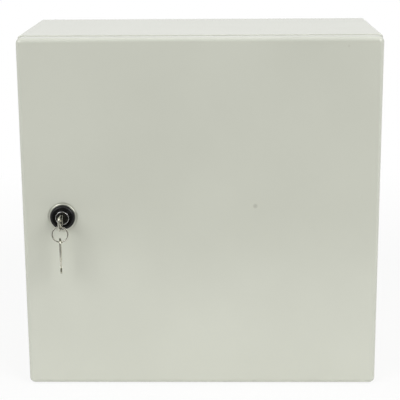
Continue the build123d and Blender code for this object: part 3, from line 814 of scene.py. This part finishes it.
def hexNut(name, size, facts):
    deselectAll()
    flats, thick, bore = size
    corner = flats / math.sqrt(3)
    stand = {"location": (0, 0, thick / 2 * mm), "rotation": (0, 0, math.radians(facts["hexTurnDegrees"]))}
    bpy.ops.mesh.primitive_cylinder_add(vertices=6, radius=corner * mm, depth=thick * mm, **stand)
    nut = nameActive(name)
    bpy.ops.object.transform_apply(location=True, rotation=True, scale=True)
    flat, full, past = facts["faceShare"] * flats, corner + facts["cornerRoom"], facts["blankPast"]
    slope = math.tan(math.radians(facts["cornerDegrees"]))
    drop, end = (full - flat) * slope, flat - past / slope
    blank = [(end, -past), (full, drop), (full, thick - drop), (end, thick + past)]
    cutWith(nut, turnPiece("cornerBlank", blank, facts["blankSegments"]), "INTERSECT")
    hole, lip, room = bore / 2 + facts["boreRoom"], facts["mouth"], facts["endRoom"]
    mouth = bore / 2 + lip
    bit = [(mouth, -room), (hole, lip), (hole, thick - lip), (mouth, thick + room)]
    cutWith(nut, turnPiece("holeBit", bit, facts["boreSegments"]))
    return nut


# washers: turned rings with their outer edges taken off, in millimetres
washerFacts = {"edge": 0.2, "segments": 64}


def flatWasher(name, size, facts):
    across, thick, bore = size
    outer, inner, edge = across / 2, bore / 2, facts["edge"]
    profile = [(inner, 0), (outer - edge, 0), (outer, edge)]
    profile += [(outer, thick - edge), (outer - edge, thick), (inner, thick)]
    return turnPiece(name, profile, facts["segments"], ring=True)


def setCopies(piece, places, along, across, node):
    # the first one goes to the first place and a copy to each of the others
    made = [piece] + [copyPiece(piece, piece.name + str(order + 2)) for order in range(len(places) - 1)]
    for one, place in zip(made, places):
        dressPiece(placePiece(one, place, along, across), slotOf[node], bodyOf[node], node)


# fasteners: threads are size and pitch, nuts flats, height and bore, washers size, thickness and bore
fastenerFacts = {
    "largeThread": (8, 1.25),
    "largeNut": (13, 6.5, 8),
    "largeWasher": (17, 1.6, 8.3),
    "smallThread": (5, 0.8),
    "smallNut": (8, 4, 5),
    "hingeNut": (7, 3.2, 4),
    "lockNut": (27, 5, 22),
    "camWasher": (12, 1, 5.3),
    "plateStudLength": 30,
    "plateSpots": [(x, -1.2, z) for x in (-160, 160) for z in (-115, 115)],
    "shoulder": [(6.4, 0), (7.0, 0.5), (7.0, 14.5), (6.5, 15.0), (3.6, 15.0)],
    "plateSeat": -18.2,
    "glandStudLength": 11,
    "glandFoot": 5,
    "glandSpots": [(x, y, -198.8) for x in (-126.5, 0, 126.5) for y in (-141.0, -38.0)],
    "glandSeat": -195.3,
    "earthStudLength": 22,
    "earthFoot": 7,
    # node, name, place and way out of the sheet
    "earths": [
        ("earth", "wallEarth", (-100, -1.2, -187), forward),
        ("door_earth", "doorEarth", (160, -198.5, -160), backward),
    ],
    "rimNutSpots": [(188.35, -174.6, z) for z in (-137, -113, 113, 137)],
    "lockNutSpot": (lockX, -193.5, lockZ),
    "camWasherSpot": (lockX, -171.8, lockZ),
}


def setStuds(name, thread, length, collar, places, along, node):
    setCopies(weldStud(name, thread, length, collar, studFacts), places, along, rightward, node)


def setWashers(name, size, places, along, node):
    setCopies(flatWasher(name, size, washerFacts), places, along, rightward, node)


def setNuts(name, size, places, along, node):
    setCopies(hexNut(name, size, nutFacts), places, along, rightward, node)


def buildFasteners(facts):
    large, nut, washer = facts["largeThread"], facts["largeNut"], facts["largeWasher"]
    lift = washer[1]
    spots, seat = facts["plateSpots"], facts["plateSeat"]
    setStuds("plateStud", large, facts["plateStudLength"], facts["shoulder"], spots, forward, "plate_studs")
    setWashers("plateWasher", washer, [(x, seat, z) for x, y, z in spots], forward, "plate_washers")
    setNuts("plateNut", nut, [(x, seat - lift, z) for x, y, z in spots], forward, "plate_nuts")
    spots, seat = facts["glandSpots"], facts["glandSeat"]
    foot = weldFoot(facts["glandFoot"], studFacts)
    setStuds("glandStud", facts["smallThread"], facts["glandStudLength"], foot, spots, upward, "gland_studs")
    setNuts("glandNut", facts["smallNut"], [(x, y, seat) for x, y, z in spots], upward, "gland_nuts")
    foot = weldFoot(facts["earthFoot"], studFacts)
    for node, title, spot, along in facts["earths"]:
        x, y, z = spot
        setStuds(title + "Stud", large, facts["earthStudLength"], foot, [spot], along, node + "_stud")
        setWashers(title + "Washer", washer, [spot], along, node + "_washer")
        setNuts(title + "Nut", nut, [(x, y + lift * along[1], z)], along, node + "_nut")
    setNuts("hingeNut", facts["hingeNut"], facts["rimNutSpots"], forward, "hinge_nuts")
    setNuts("lockNut", facts["lockNut"], [facts["lockNutSpot"]], forward, "lock_nut")
    setWashers("camWasher", facts["camWasher"], [facts["camWasherSpot"]], forward, "cam_washer")


buildFasteners(fastenerFacts)
print("studs, washers and nuts set")

# pressed and cut steel pieces with their edges broken, in millimetres
softFacts = {
    "flatDegrees": 0.5,
    "segments": 2,
    "edgeDegrees": 40,
    "pieces": {
        "upper_hinge_bracket": ("upperHingeBracket", 0.3),
        "lower_hinge_bracket": ("lowerHingeBracket", 0.3),
        "upper_hinge_leaf": ("upperHingeLeaf", 0.3),
        "lower_hinge_leaf": ("lowerHingeLeaf", 0.3),
        "upper_hinge_pin": ("upperHingePin", 0.3),
        "lower_hinge_pin": ("lowerHingePin", 0.3),
        "lock_cam": ("lockCam", 0.35),
        "mounting_plate": ("mountingPlate", 0.25),
        "gland_plate": ("glandPlate", 0.25),
    },
}


def softenNode(node, name, width, facts):
    # a copy of the solid, its triangles sewn into whole faces and its edges broken as a file would
    piece = bpy.data.objects.new(name, frame["nodes"][node].data.copy())
    bpy.context.scene.collection.objects.link(piece)
    makeActive(piece)
    bpy.ops.mesh.customdata_custom_splitnormals_clear()
    bpy.ops.object.mode_set(mode="EDIT")
    mergeClose()
    bpy.ops.mesh.dissolve_limited(angle_limit=math.radians(facts["flatDegrees"]))
    bpy.ops.object.mode_set(mode="OBJECT")
    breakEdges(piece, width, facts["segments"], facts["edgeDegrees"])
    dressPiece(piece, slotOf[node], bodyOf[node], node)


for node, (name, width) in softFacts["pieces"].items():
    softenNode(node, name, width, softFacts)
print("edges broken on", len(softFacts["pieces"]), "pieces")

# the solids that stay as they are get their finish
for node, solid in frame["nodes"].items():
    if not solid.hide_render:
        solid.data.materials.clear()
        solid.data.materials.append(finishes[slotOf[node]])
print("finishes laid on the solids")
